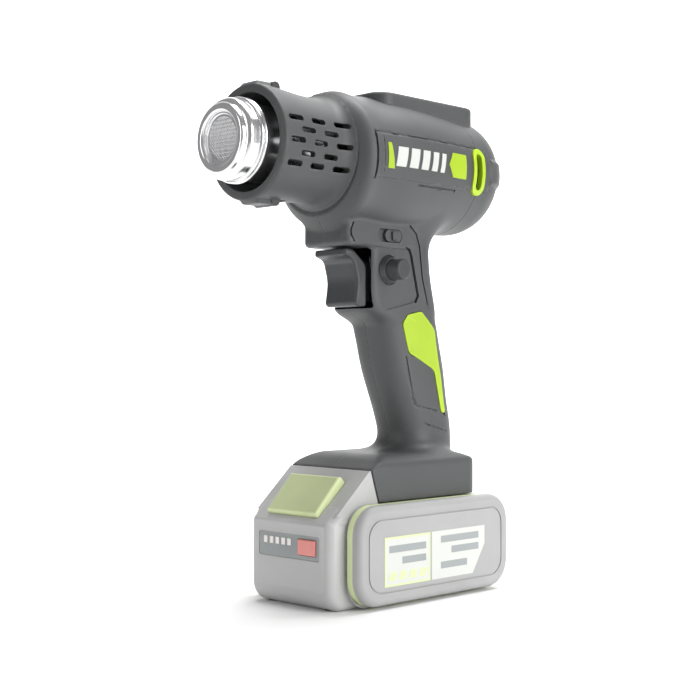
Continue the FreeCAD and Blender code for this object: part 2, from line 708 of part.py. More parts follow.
def gauge_panel():
    """Panel let into the front of the pack, round the charge lights and the button."""
    plate = Part.Face(outline([
        (-21.2, 23.7, 1.1), (21.2, 23.7, 1.1), (21.2, 35.3, 1.1), (-21.2, 35.3, 1.1),
    ], lambda y, z: V(PACK_NOSE_X - 1.3, y, z))).extrude(V(1.0, 0, 0))
    lights = [box(55, 70, y - 1.3, y + 1.3, 29.7, 33.1) for y in LIGHT_Y]
    return plate.cut(lights + [gauge_button_way()])


LIGHT_Y = [-16.6, -12.4, -8.2, -4.0, 0.2]
BUTTON_Y, BUTTON_Z = (6.8, 18.7), (26.0, 33.4)


def gauge_button_way():
    return box(55, 70, BUTTON_Y[0] - 0.3, BUTTON_Y[1] + 0.3, BUTTON_Z[0] - 0.3, BUTTON_Z[1] + 0.3)


def gauge_button():
    key = box(57.6, PACK_NOSE_X + 0.7, *BUTTON_Y, *BUTTON_Z)
    return rounded_rim(key, "x", PACK_NOSE_X + 0.7, 0.7)


def gauge_lights():
    lights = [box(PACK_NOSE_X - 1.3, PACK_NOSE_X - 0.1, y - 1.25, y + 1.25, 29.75, 33.05)
              for y in LIGHT_Y]
    return Part.Compound(lights)


def pack_trim():
    """Lime band under the edge of a bumper."""
    x0, x1 = BUMPER_X
    z0, z1 = BUMPER_Z
    ring = rounded_box(x0, x1, z0, z1, 14, PACK_BODY_HALF + 0.05, 33.5)
    return ring.cut(rounded_box(x0 + 2.9, x1 - 2.9, z0 + 2.9, z1 - 2.9, 11.3, 20, 40))


def bumper():
    """Side plate with softened edges and a shallow groove inside its rim."""
    x0, x1 = BUMPER_X
    z0, z1 = BUMPER_Z
    plate = rounded_box(x0, x1, z0, z1, 14, 33.5, BUMPER_HALF)
    plate = rounded_rim(plate, "y", BUMPER_HALF, 3.2)
    pocket = rounded_box(x0 + 3.0, x1 - 3.0, z0 + 3.0, z1 - 3.0, 11.2, 33, 34.65)
    groove = rounded_box(x0 + 6.2, x1 - 6.2, z0 + 6.2, z1 - 6.2, 9, BUMPER_HALF - 0.5, 50)
    groove = groove.cut(rounded_box(x0 + 7.0, x1 - 7.0, z0 + 7.0, z1 - 7.0, 8.4, 30, 60))
    return plate.cut([pocket, groove])


def side_label():
    """Blank two-part rating plate on a bumper."""
    square = box(3.9, 36.4, BUMPER_HALF, BUMPER_HALF + 0.12, 10.6, 34.2)
    field = side_prism([
        (2.6, 10.6, 0), (2.6, 34.2, 0), (-37.9, 34.2, 1), (-37.9, 26.0, 2), (-27.5, 10.6, 2),
    ], BUMPER_HALF, BUMPER_HALF + 0.12)
    return Part.Compound([square, field])


CELL_X0 = -44.8
CELL_ROWS_Z = (14.6, 35.3)


def cells():
    out = []
    for row in CELL_ROWS_Z:
        for column in range(5):
            x = CELL_X0 + CELL_PITCH * column
            cell = rod(CELL_R, CELL_LENGTH, (x, -CELL_LENGTH / 2, row), (0, 1, 0))
            out.append(cell.makeFillet(0.8, edges_at(cell, "y", CELL_LENGTH / 2)))
    return Part.Compound(out)


def cell_holder(y0):
    """Plastic frame that keeps the cells apart near one end."""
    frame = rounded_box(-54.2, 47.2, 4.4, 45.5, 7.5, y0, y0 + 8)
    holes = []
    for row in CELL_ROWS_Z:
        for column in range(5):
            x = CELL_X0 + CELL_PITCH * column
            holes.append(rod(CELL_R + 0.05, 20, (x, y0 - 5, row), (0, 1, 0)))
    return frame.cut(holes)


def cell_links():
    """Nickel strips that join neighbouring cells in pairs, on both ends."""
    strips = []
    for side in (-1, 1):
        for column in range(5):
            x = CELL_X0 + CELL_PITCH * column
            y = side * (CELL_LENGTH / 2 + 0.15)
            strips.append(box(x - 3, x + 3, y - 0.15, y + 0.15, CELL_ROWS_Z[0], CELL_ROWS_Z[1]))
    return Part.Compound(strips)


def pack_board():
    return box(-18, 28, -16, 16, 46.6, 48.2)


def pack_terminals():
    """Spring clips that take the tool's blades."""
    clips = []
    for y in BLADE_Y:
        for side in (-1, 1):
            clips.append(box(-23.6, -21, y + side * 0.6 - 0.15, y + side * 0.6 + 0.15, 56, 64))
    return Part.Compound(clips)


def pack_screws():
    out = []
    for x, y in PACK_SCREWS:
        head = rod(2.9, 2.0, (x, y, 0.4), (0, 0, 1)).cut(rod(1.2, 1.2, (x, y, 0.4), (0, 0, 1)))
        out.append(head.fuse(rod(1.5, 7.4, (x, y, 0.5), (0, 0, 1))).removeSplitter())
    return Part.Compound(out)


def housing_screws():
    """Pan-head screws, driven from the right-hand side, with a socket in each head."""
    out = []
    for x, z, _, depth in SCREWS:
        head = rod(SCREW_HEAD_R, 2.4, (x, -depth - 2.4, z), (0, 1, 0))
        socket = rod(1.3, 1.5, (x, -depth - 2.4, z), (0, 1, 0))
        shank = rod(SCREW_SHANK_R, depth + 8, (x, -depth - 0.1, z), (0, 1, 0))
        out.append(head.cut(socket).fuse(shank).removeSplitter())
    return Part.Compound(out)


# Every node ---------------------------------------------------------------------------------
housing_left, housing_right = housing_halves()
pack_lower, pack_upper = pack_shells()
AIR = (1, 0, 0)
NODES = {
    "housing_left": housing_left,
    "housing_right": housing_right,
    "housing_screws": housing_screws(),
    "front_shroud": front_shroud(),
    "cross_bars": cross_bars(),
    "rear_cap": rear_cap(),
    "top_plate": top_plate(),
    "bezel_left": bezel(),
    "bezel_right": mirrored(bezel()),
    "label_plate_left": label_plate(),
    "label_plate_right": mirrored(label_plate()),
    "grip_insert_left": grip_insert(),
    "grip_insert_right": mirrored(grip_insert()),
    "nozzle": nozzle(),
    "nozzle_mesh": nozzle_mesh(),
    "heater_tube": tube(18.1, 17.5, 48, (47, 0, AIR_Z), AIR),
    "mica_sleeve": tube(17.4, 16.8, 45, (50, 0, AIR_Z), AIR),
    "heater_former": heater_former(),
    "heating_coil": heating_coil(),
    "air_duct": air_duct(),
    "motor_mount": motor_mount(),
    "motor_can": motor_can(),
    "motor_magnets": motor_magnets(),
    "motor_bearings": motor_bearings(),
    "motor_rotor": motor_rotor(),
    "motor_shaft": motor_shaft(),
    "fan_impeller": fan_impeller(),
    "control_board": control_board(),
    "heat_sink": heat_sink(),
    "switch_body": switch_body(),
    "battery_leads": battery_leads(),
    "trigger": trigger(),
    "trigger_spring": ring_stack(4.2, 0.45, (-3.9, 0, 161), 2.0, 4, (1, 0, 0)),
    "lock_collar": lock_collar(),
    "lock_button": lock_button(),
    "lock_spring": ring_stack(3.2, 0.35, (LOCK_X, 9.6, LOCK_Z), 1.2, 5, (0, 1, 0)),
    "mode_slider": mode_slider(),
    "terminal_block": terminal_block(),
    "terminal_blades": terminal_blades(),
    "pack_lower_shell": pack_lower,
    "pack_upper_shell": pack_upper,
    "pack_trim_left": pack_trim(),
    "pack_trim_right": mirrored(pack_trim()),
    "bumper_left": bumper(),
    "bumper_right": mirrored(bumper()),
    "side_label_left": side_label(),
    "side_label_right": mirrored(side_label()),
    "latch_button": latch_button(),
    "latch_spring": latch_spring(),
    "gauge_panel": gauge_panel(),
    "gauge_button": gauge_button(),
    "gauge_lights": gauge_lights(),
    "cells": cells(),
    "cell_holder_left": cell_holder(18),
    "cell_holder_right": cell_holder(-26),
    "cell_links": cell_links(),
    "pack_board": pack_board(),
    "pack_terminals": pack_terminals(),
    "pack_screws": pack_screws(),
}

for name, shape in NODES.items():
    print(name, len(shape.Solids), "solid(s)", round(shape.Volume, 1), "mm3, valid:", shape.isValid())
    shape.exportStep("parts/" + name + ".step")
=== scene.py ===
"""Looks of the cordless heat gun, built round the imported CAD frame."""

import itertools
import json
import math

import bpy
import numpy as np
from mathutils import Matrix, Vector


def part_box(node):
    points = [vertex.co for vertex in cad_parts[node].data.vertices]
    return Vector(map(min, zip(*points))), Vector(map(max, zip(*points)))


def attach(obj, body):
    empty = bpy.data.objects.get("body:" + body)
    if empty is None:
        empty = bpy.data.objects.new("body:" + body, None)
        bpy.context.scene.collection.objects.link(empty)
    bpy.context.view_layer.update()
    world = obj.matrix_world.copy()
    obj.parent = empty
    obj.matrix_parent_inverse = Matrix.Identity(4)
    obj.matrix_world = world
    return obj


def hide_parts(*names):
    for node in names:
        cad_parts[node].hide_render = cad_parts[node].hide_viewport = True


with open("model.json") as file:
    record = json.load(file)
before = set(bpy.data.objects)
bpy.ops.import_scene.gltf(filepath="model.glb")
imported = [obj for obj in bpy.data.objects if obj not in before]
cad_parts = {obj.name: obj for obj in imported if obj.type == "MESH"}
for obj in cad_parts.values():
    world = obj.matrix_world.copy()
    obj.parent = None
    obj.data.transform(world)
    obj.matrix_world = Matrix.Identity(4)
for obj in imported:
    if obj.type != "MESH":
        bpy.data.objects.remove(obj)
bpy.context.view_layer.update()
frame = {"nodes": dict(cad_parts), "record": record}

MM = 0.001
CELL = 0.78                             # contouring cell of the big mouldings, mm
FINE_CELL = 0.42                        # and of the small marks


# Places read from the frame, in millimetres ------------------------------------------------
def node_box(node):
    low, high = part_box(node)
    return np.array(low) / MM, np.array(high) / MM


nozzle_low, nozzle_high = node_box("nozzle")
AIR_Z = (nozzle_low[2] + nozzle_high[2]) / 2
TIP_X = nozzle_high[0]
SHROUD_FRONT = node_box("front_shroud")[1][0]
BARREL_Z = AIR_Z - 3.0                  # the barrel's own axis lies just below the air's
plate_low, plate_high = node_box("top_plate")
TOP_Z = plate_high[2]
TOP_HALF = plate_high[1]
cap_low, cap_high = node_box("rear_cap")
REAR_X = cap_low[0] + 1.2               # behind the belt, which stands 1.2 proud
SEAM_X = cap_high[0]
NOSE_JOINT = 44.65                      # where the vented sleeve meets the clamshell
GRIP_HALF = 16.0
FOOT_HALF = 28.8


# Camera ---------------------------------------------------------------------------------
def make_camera():
    """Level camera ahead of the tool's left front corner, looking along -X -Y."""
    data = bpy.data.cameras.new("camera")
    data.lens = 68.9
    data.sensor_width = 36.0
    data.shift_y = 0.02
    camera = bpy.data.objects.new("camera", data)
    bpy.context.scene.collection.objects.link(camera)
    camera.location = (0.4968, 0.4752, 0.1167)
    camera.rotation_euler = (math.radians(90), 0, math.radians(135))
    bpy.context.scene.camera = camera


make_camera()


# Distance fields ------------------------------------------------------------------------
def smooth_min(a, b, k):
    h = np.clip(0.5 + 0.5 * (b - a) / k, 0, 1)
    return b + (a - b) * h - k * h * (1 - h)


def smooth_max(a, b, k):
    return -smooth_min(-a, -b, k)


def rise(value, low, high):
    """0 below low, 1 above high, smooth between."""
    t = np.clip((value - low) / (high - low), 0, 1)
    return t * t * (3 - 2 * t)


def corner(a, b, radius):
    """Where both a and b are inside, with a rounded outer corner."""
    p = a + radius
    q = b + radius
    return np.minimum(np.maximum(p, q), 0) + np.hypot(np.maximum(p, 0), np.maximum(q, 0)) - radius


def slab(value, low, high):
    return np.abs(value - (low + high) / 2) - (high - low) / 2


def rounded_rectangle(u, v, low, high, radius):
    p = slab(u, low[0], high[0]) + radius
    q = slab(v, low[1], high[1]) + radius
    return np.minimum(np.maximum(p, q), 0) + np.hypot(np.maximum(p, 0), np.maximum(q, 0)) - radius


def block(x, y, z, low, high, radius):
    p = slab(x, low[0], high[0]) + radius
    q = slab(y, low[1], high[1]) + radius
    r = slab(z, low[2], high[2]) + radius
    outside = np.sqrt(np.maximum(p, 0) ** 2 + np.maximum(q, 0) ** 2 + np.maximum(r, 0) ** 2)
    return outside + np.minimum(np.maximum(np.maximum(p, q), r), 0) - radius


def polygon(u, v, points):
    """Signed distance to a closed outline."""
    best = np.full(u.shape, np.inf)
    inside = np.zeros(u.shape, bool)
    for index, (au, av) in enumerate(points):
        bu, bv = points[index - 1]
        eu = bu - au
        ev = bv - av
        t = np.clip(((u - au) * eu + (v - av) * ev) / (eu * eu + ev * ev), 0, 1)
        best = np.minimum(best, np.hypot(u - au - t * eu, v - av - t * ev))
        if ev != 0:
            inside ^= ((av > v) != (bv > v)) & (u < au + (v - av) / ev * eu)
    return np.where(inside, -best, best)


def path(u, v, points):
    """Distance to an open line through points."""
    best = np.full(u.shape, np.inf)
    for (au, av), (bu, bv) in zip(points, points[1:]):
        eu = bu - au
        ev = bv - av
        t = np.clip(((u - au) * eu + (v - av) * ev) / (eu * eu + ev * ev), 0, 1)
        best = np.minimum(best, np.hypot(u - au - t * eu, v - av - t * ev))
    return best


def curve_through(places, values):
    """Smooth function through values given at rising places."""
    places = np.array(places, float)
    values = np.array(values, float)
    gaps = np.diff(places)
    count = len(places)
    system = np.eye(count)
    right = np.zeros(count)
    for i in range(1, count - 1):
        system[i, i - 1:i + 2] = gaps[i - 1], 2 * (gaps[i - 1] + gaps[i]), gaps[i]
        right[i] = 6 * ((values[i + 1] - values[i]) / gaps[i] - (values[i] - values[i - 1]) / gaps[i - 1])
    bend = np.linalg.solve(system, right)
    fine = np.linspace(places[0], places[-1], 1200)
    at = np.clip(np.searchsorted(places, fine) - 1, 0, count - 2)
    h = gaps[at]
    t = fine - places[at]
    s = h - t
    table = (bend[at] * s ** 3 + bend[at + 1] * t ** 3) / (6 * h)
    table += (values[at] / h - bend[at] * h / 6) * s + (values[at + 1] / h - bend[at + 1] * h / 6) * t
    return lambda where: np.interp(where, fine, table)


# Contouring: turns a distance field into a closed mesh --------------------------------------
BLOCK = 8


def field_on_grid(distance, low, counts, cell):
    """The field at each grid point, worked out in full only near the surface."""
    values = np.empty(counts)
    reach = BLOCK * cell * math.sqrt(3) / 2 * 1.35 + 1.0
    blocks = [range(0, count, BLOCK) for count in counts]
    corners = np.array(list(itertools.product(*blocks)))
    middles = low + (corners + BLOCK / 2) * cell
    rough = distance(*middles.T)
    steps = np.array(list(itertools.product(range(BLOCK), repeat=3)))
    far = np.abs(rough) >= reach
    for start in corners[far]:
        i, j, k = start
        values[i:i + BLOCK, j:j + BLOCK, k:k + BLOCK] = 1.0
    for (i, j, k), value in zip(corners[far], rough[far]):
        if value < 0:
            values[i:i + BLOCK, j:j + BLOCK, k:k + BLOCK] = -1.0
    near = corners[~far]
    for chunk in np.array_split(near, max(1, len(near) // 400)):
        places = (chunk[:, None, :] + steps[None, :, :]).reshape(-1, 3)
        places = places[(places < np.array(counts)).all(axis=1)]
        values[tuple(places.T)] = distance(*(low + places * cell).T)
    return values


def slope_of(distance, points):
    """Unit gradient, from four samples round each point."""
    step = 0.03
    total = np.zeros(points.shape)
    for sign in ((1, -1, -1), (-1, -1, 1), (-1, 1, -1), (1, 1, 1)):
        sign = np.array(sign, float)
        total += sign * distance(*(points + step * sign).T)[:, None]
    size = np.linalg.norm(total, axis=1, keepdims=True)
    return total / np.maximum(size, 1e-12)


def contour(distance, low, high, cell):
    """Dual contouring: points that keep the field's edges, and the quads between them."""
    low = np.array(low, float) - 2.3 * cell
    counts = tuple(int(n) for n in np.ceil((np.array(high) - low) / cell + 3.3))
    values = field_on_grid(distance, low, counts, cell)
    inside = values < 0
    cells = tuple(count - 1 for count in counts)
    some = np.zeros(cells, bool)
    every = np.ones(cells, bool)
    for i, j, k in itertools.product((0, 1), repeat=3):
        part = inside[i:i + cells[0], j:j + cells[1], k:k + cells[2]]
        some |= part
        every &= part
    active = some & ~every
    number = np.full(cells, -1)
    total = int(active.sum())
    number[active] = np.arange(total)
    square = np.zeros((total, 3, 3))
    right = np.zeros((total, 3))
    middle = np.zeros((total, 3))
    hits = np.zeros(total)
    quads = []
    for axis in range(3):
        step = np.eye(3, dtype=int)[axis]
        first = inside[tuple(slice(0, n - s) for n, s in zip(counts, step))]
        second = inside[tuple(slice(s, n) for n, s in zip(counts, step))]
        edges = np.argwhere(first != second)
        start = values[tuple(edges.T)]
        end = values[tuple((edges + step).T)]
        near = np.zeros(len(edges))
        far = np.ones(len(edges))
        for _ in range(4):
            t = near + (far - near) * np.clip(start / (start - end), 0.02, 0.98)
            now = distance(*(low + cell * (edges + t[:, None] * step)).T)
            same = (now < 0) == (start < 0)
            near = np.where(same, t, near)
            start = np.where(same, now, start)
            far = np.where(same, far, t)
            end = np.where(same, end, now)
        t = near + (far - near) * np.clip(start / (start - end), 0, 1)
        points = low + cell * (edges + t[:, None] * step)
        normals = slope_of(distance, points)
        along = (points * normals).sum(axis=1)
        u = (axis + 1) % 3
        v = (axis + 2) % 3
        ring = []
        for du, dv in ((0, 0), (-1, 0), (-1, -1), (0, -1)):
            at = edges.copy()
            at[:, u] += du
            at[:, v] += dv
            ring.append(number[tuple(at.T)])
        for cell_number in ring:
            for a in range(3):
                middle[:, a] += np.bincount(cell_number, points[:, a], total)
                right[:, a] += np.bincount(cell_number, normals[:, a] * along, total)
                for b in range(3):
                    square[:, a, b] += np.bincount(cell_number, normals[:, a] * normals[:, b], total)
            hits += np.bincount(cell_number, minlength=total)
        order = np.stack(ring, axis=1)
        outward = inside[tuple(edges.T)]
        quads.append(np.where(outward[:, None], order, order[:, ::-1]))
    middle /= hits[:, None]
    keep = 0.04 * np.eye(3)
    shift = np.linalg.solve(square + keep, (right - np.einsum("nab,nb->na", square, middle))[:, :, None])
    points = middle + shift[:, :, 0]
    floor = low + cell * np.argwhere(active)
    points = np.clip(points, floor - 0.05 * cell, floor + 1.05 * cell)
    return points, np.concatenate(quads)


def make_piece(name, points, faces, smooth_angle=32):
    """A mesh object from millimetre points."""
    mesh = bpy.data.meshes.new(name)
    mesh.from_pydata((np.array(points) * MM).tolist(), [], [list(map(int, face)) for face in faces])
    mesh.validate()
    mesh.polygons.foreach_set("use_smooth", [True] * len(mesh.polygons))
    mesh.set_sharp_from_angle(angle=math.radians(smooth_angle))
    piece = bpy.data.objects.new(name, mesh)
    bpy.context.scene.collection.objects.link(piece)
    return piece


def moulded(name, distance, low, high, cell=CELL, smooth_angle=32):
    points, faces = contour(distance, low, high, cell)
    return make_piece(name, points, faces, smooth_angle)


# Outer form of the tool ---------------------------------------------------------------------
barrel_radius = curve_through(
    [-75, -41, -25, -6, 15, 29, 35, 39, 42, 45, 48, 51, 56, 62, 70, 80, 92],
    [31.2, 31.6, 32.9, 34.0, 34.1, 33.3, 33.7, 33.8, 32.0, 28.6, 26.4, 25.6, 25.5, 25.7, 26.3, 27.2, 27.3])
HANDLE = [                              # z, back x, front x, squareness
    (64, -45.4, -9.8, 2.6), (75, -45.5, -8.0, 2.6), (84, -45.2, -5.8, 2.6),
    (97.9, -42.7, -0.6, 2.6), (116.2, -39.4, 6.4, 2.8), (128, -35.8, 9.0, 3.0),
    (134.5, -33.8, 10.4, 3.2), (138.2, -32.5, 12.8, 3.4), (140.6, -31.6, 17.4, 3.8),
    (142.6, -30.9, 20.6, 4.4), (145, -30.0, 22.2, 5.0), (149, -28.6, 22.9, 5.6),
    (160, -25.6, 22.9, 6.0), (176, -24.0, 22.8, 6.0), (196, -24.0, 22.6, 6.0),
]
handle_z = [row[0] for row in HANDLE]
handle_back = curve_through(handle_z, [row[1] for row in HANDLE])
handle_front = curve_through(handle_z, [row[2] for row in HANDLE])
handle_power = curve_through(handle_z, [row[3] for row in HANDLE])


def barrel_form(x, y, z):
    """Main barrel, its bulge, the rear dome and the sleeve ahead, as one skin."""
    axis = BARREL_Z + (AIR_Z - BARREL_Z) * rise(x, 40, 52)
    side = np.hypot(y, z - axis) - barrel_radius(x)
    side = side * (0.72 + 0.28 * rise(np.abs(x - 45.5), 2, 7))
    return corner(side, REAR_X - x, 21)


def handle_form(x, y, z):
    back = handle_back(z)
    front = handle_front(z)
    power = handle_power(z)
    across = x - (back + front) / 2
    u = np.abs(across) / ((front - back) / 2)
    v = np.abs(y) / GRIP_HALF
    size = (u ** power + v ** power + 1e-9) ** (1 / power)
    radial = np.hypot(across, y) * (1 - 1 / size)
    return np.maximum(np.maximum(radial, z - 196), 64 - z)


def foot_form(x, y, z):
    plan = rounded_rectangle(x, y, (-45.4, -FOOT_HALF), (60, FOOT_HALF), 9)
    front = ((x - 27.0) * 25.7 - (z - 40) * 8.3) / math.hypot(25.7, 8.3)
    roof_front = ((x - 24.5) * 6.6 + (z - 72.3) * 10.8) / math.hypot(6.6, 10.8)
    roof_rear = (-(x + 33) * 5.8 + (z - 72.3) * 13) / math.hypot(5.8, 13)
    shoulder = ((np.abs(y) - 21) * 5.9 + (z - 73.3) * 8.8) / math.hypot(5.9, 8.8)
    roof = smooth_max(np.maximum(roof_front, roof_rear), z - 72.3, 3)
    roof = smooth_max(roof, shoulder, 2.0)
    form = smooth_max(plan, roof, 2.0)
    form = smooth_max(form, front, 1.0)
    return smooth_max(form, 50.0 - z, 0.6)


def guard_form(x, y, z):
    plan = rounded_rectangle(x, y, (-12, -GRIP_HALF - 0.1), (40.0, GRIP_HALF + 0.1), 4.5)
    return corner(plan, 174.6 - z, 2.4)


def tool_form(x, y, z):
    """Clamshell and cap without their surface detail."""
    guard = np.maximum(guard_form(x, y, z), z - 200)
    grip = smooth_min(handle_form(x, y, z), guard, 1.5 + 2.5 * rise(x, 16, 24))
    grip = smooth_min(grip, foot_form(x, y, z), 3.0 + 9.0 * rise(x, -46, -20))
    k = 1.2 + 13.0 * rise(-x, 4, 26) + 2.0 * rise(x, 37, 41)
    return smooth_min(barrel_form(x, y, z), grip, k)


# Surface detail on the side, all in the x, z plane -------------------------------------------
PANEL = [(40, 174.8), (-4.5, 174.8), (-6.3, 172.5), (-11.4, 151.5), (-9.5, 148.4),
         (0, 146.0), (13, 143.3), (26, 140.4), (40, 139)]
INNER_LINE = [(-2.5, 175.4), (-5.2, 174.6), (-6.6, 172.0), (-11.8, 151.5), (-9.8, 148.2)]
OUTER_LINE = [(-5.0, 186.5), (-10.0, 183.0), (-12.6, 177.0), (-15.0, 160.0), (-19.5, 146.0)]
LOW_LINE = [(-3.7, 120.4), (-9.8, 97.6), (-11.3, 95.4), (-25.6, 92.6)]
HEEL_LINE = [(-17.4, 85.9), (-33.9, 81.9)]
GUARD_MARK = [(35.4, 185.4), (36.9, 182.0), (36.6, 179.4), (34.8, 176.8)]
INSERT = [(-13.7, 143.6), (-25.0, 134.3), (-33.6, 90.0), (-29.4, 92.2), (-23.9, 113.6),
          (-20.5, 115.8), (-5.0, 122.5), (-0.3, 137.3), (-3.0, 141.0), (-6.8, 142.6)]
SWITCH_LOW = (0.7, 177.5)
SWITCH_HIGH = (18.7, 184.1)
button_low, button_high = node_box("lock_button")
BUTTON_X = (button_low[0] + button_high[0]) / 2
BUTTON_Z = (button_low[2] + button_high[2]) / 2
bezel_low, bezel_high = node_box("bezel_left")


def groove(form, x, y, z, line, width=0.55, depth=0.9):
    """Cuts a round-bottomed line into the form's skin."""
    return smooth_max(form, -np.maximum(path(x, z, line) - width, -(form + depth)), 0.25)


def side_detail(form, x, y, z, left):
    """Cuts and raises what both sides share, then what only the left has."""
    side = np.abs(y)
    band = corner(rounded_rectangle(x, z, (SEAM_X - 9, 206.4), (36.2, 227.6), 1.2),
                  barrel_form(x, y, z) - 0.45, 0.3)
    band = np.maximum(band, 20 - side)
    form = np.minimum(form, np.maximum(band, -form - 3))
    panel = np.maximum(polygon(x, z, PANEL), 15.35 - side)
    form = smooth_max(form, -panel, 0.5)
    for line in (INNER_LINE, OUTER_LINE):
        form = groove(form, x, y, z, line, 0.6, 1.0)
    for line in (LOW_LINE, HEEL_LINE):
        form = groove(form, x, y, z, line, 0.4, 0.5)
    form = groove(form, x, y, z, GUARD_MARK, 0.5, 1.0)
    form = np.where(side > 20, groove(form, x, y, z, [(5, 204.8), (-23, 204.8)], 0.5, 0.9), form)
    form = np.where(side > 20, groove(form, x, y, z, [(36.5, 228.2), (-40, 228.2)], 0.4, 0.6), form)
    form = np.where(side > 20, groove(form, x, y, z, [(31.2, 208.6), (31.2, 226.0)], 0.35, 0.5), form)
    form = np.where(side > 20, groove(form, x, y, z, [(36.7, 205.8), (36.7, 228.0)], 0.5, 0.9), form)
    insert = np.maximum(polygon(x, z, INSERT) - 0.25, -(form + 1.2))
    form = smooth_max(form, -np.maximum(insert, 5 - side), 0.3)
    middle_x = (bezel_low[0] + bezel_high[0]) / 2
    half_x = (bezel_high[0] - bezel_low[0]) / 2
    middle_z = (bezel_low[2] + bezel_high[2]) / 2
    reach = (bezel_high[2] - bezel_low[2]) / 2 - half_x
    ring = np.hypot(x - middle_x, np.maximum(np.abs(z - middle_z) - reach, 0)) - half_x - 0.15
    form = smooth_max(form, -np.maximum(ring, 20 - side), 0.3)
    if left:
        radius = (SWITCH_HIGH[1] - SWITCH_LOW[1]) / 2
        seat = rounded_rectangle(x, z, SWITCH_LOW, SWITCH_HIGH, radius - 0.01)
        form = smooth_max(form, -np.maximum(seat, 14.4 - y), 0.5)
        well = np.hypot(x - BUTTON_X, z - BUTTON_Z)
        form = smooth_max(form, -np.maximum(well - 7.5, 14.2 - y), 0.4)
        form = np.maximum(form, -np.maximum(well - 5.4, 4 - y))
    return form


# Screw wells on the right: x, z and depth of the head below the mid-plane.
SCREWS = [(31.0, 245.0, 10.0), (-30.0, 243.2, 10.0), (-26.5, 194.0, 13.0), (31.5, 182.5, 12.0),
          (-18.5, 178.0, 12.0), (4.0, 140.0, 12.0), (-33.0, 104.0, 10.5)]
SCREW_WELL_R = 2.7


def hollows(form, x, y, z):
    """Rooms inside the shell: barrel, handle, pack channel and trigger mouth."""
    room = np.maximum(barrel_form(x, y, z) + 2.6, x - 42)
    bore = np.maximum(np.hypot(y, z - AIR_Z) - 22.4, 36 - x)
    grip = np.maximum(handle_form(x, y, z) + 2.6, np.maximum(z - 192, 74 - z))
    mouth = block(x, y, z, (13, -13.8, 144.4), (46, 13.8, 174.4), 1.6)
    channel = block(x, y, z, (-42.5, -25.3, 53.8), (70, 25.3, 65.0), 0.3)
    gate = block(x, y, z, (-42.5, -21.9, 40), (70, 21.9, 55), 0.3)
    empty = np.minimum.reduce([room, bore, grip, channel, gate])
    form = np.maximum(form, -empty)
    return smooth_max(form, -mouth, 0.6)


def clamshell(side):
    """Distance field of one half: side is 1 on the left and -1 on the right."""
    def distance(x, y, z):
        form = side_detail(tool_form(x, y, z), x, y, z, side > 0)
        form = hollows(form, x, y, z)
        if side < 0:
            for sx, sz, depth in SCREWS:
                well = np.maximum(np.hypot(x - sx, z - sz) - SCREW_WELL_R, y + depth)
                form = smooth_max(form, -well, 0.4)
        form = smooth_max(form, -side * y + 0.05, 0.35)
        ahead = np.maximum(x - NOSE_JOINT + 0.05, np.where(z > 180, SEAM_X + 0.25 - x, -50))
        return smooth_max(form, ahead, 0.3)
    return distance


SLOT_LENGTH, SLOT_WIDTH = 9.4, 2.6
LONG_ROW = (81.7, 66.4, 51.1)
SHORT_ROW = (74.4, 58.9)
SLOT_ROWS = [(229.5, LONG_ROW), (224.4, SHORT_ROW), (219.2, LONG_ROW),
             (213.6, SHORT_ROW), (208.7, LONG_ROW)]
bars_low, bars_high = node_box("cross_bars")
BAR_X = (bars_low[0] + bars_high[0]) / 2
BAR_RING = (bars_high[2] - bars_low[2]) / 2 - (bars_high[0] - bars_low[0]) / 2


def sleeve_distance(x, y, z):
    """Vented sleeve round the heater with pads and seats for the cross bars."""
    radial = np.hypot(y, z - AIR_Z)
    skin = radial - barrel_radius(x)
    form = corner(skin, x - SHROUD_FRONT, 1.3)
    side = np.abs(z - AIR_Z)
    pad = block(x, y, side, (77, -6.2, 20), (SHROUD_FRONT - 1.4, 6.2, 28.6), 1.6)
    form = smooth_min(form, pad, 1.4)
    notch = block(x, y, side, (69.5, -5.2, 24.6), (75.6, 5.2, 32), 0.8)
    form = smooth_max(form, -notch, 0.5)
    seat = np.maximum(np.hypot(x - BAR_X, side - BAR_RING) - 2.75, np.abs(y) - 7.2)
    form = np.maximum(form, -seat)
    form = smooth_max(form, 23.0 - radial, 0.8)
    for z0, places in SLOT_ROWS:
        for x0 in places:
            slot = np.hypot(np.maximum(np.abs(x - x0) - SLOT_LENGTH / 2 + SLOT_WIDTH / 2, 0), z - z0)
            form = smooth_max(form, -(slot - SLOT_WIDTH / 2), 0.35)
    return smooth_max(form, NOSE_JOINT + 0.05 - x, 0.3)


def cap_distance(x, y, z):
    """Rear cap: dome with a raised belt and intake slots, hollow inside."""
    form = barrel_form(x, y, z)
    belt = corner(form - 1.1, np.maximum(np.abs(z - BARREL_Z) - 6, x + 52), 1.0)
    inner = form + 2.6
    form = side_detail(smooth_min(form, belt, 2.0), x, y, z, False)
    form = np.maximum(form, -inner)
    for z0, reach in ((196.0, 11.0), (201.5, 15.0), (232.5, 15.0), (238.0, 11.0)):
        slot = np.hypot(np.maximum(np.abs(y) - reach + 1.4, 0), z - z0) - 1.4
        form = smooth_max(form, -np.maximum(slot, x + 56), 0.5)
    return smooth_max(form, x - SEAM_X, 0.4)


def rest_distance(x, y, z):
    """Flat rest on top, seated on the barrel."""
    plan = rounded_rectangle(x, y, (plate_low[0], -TOP_HALF), (plate_high[0], TOP_HALF), 9)
    form = corner(plan, z - TOP_Z, 1.8)
    return np.maximum(form, -(barrel_form(x, y, z) - 0.05))


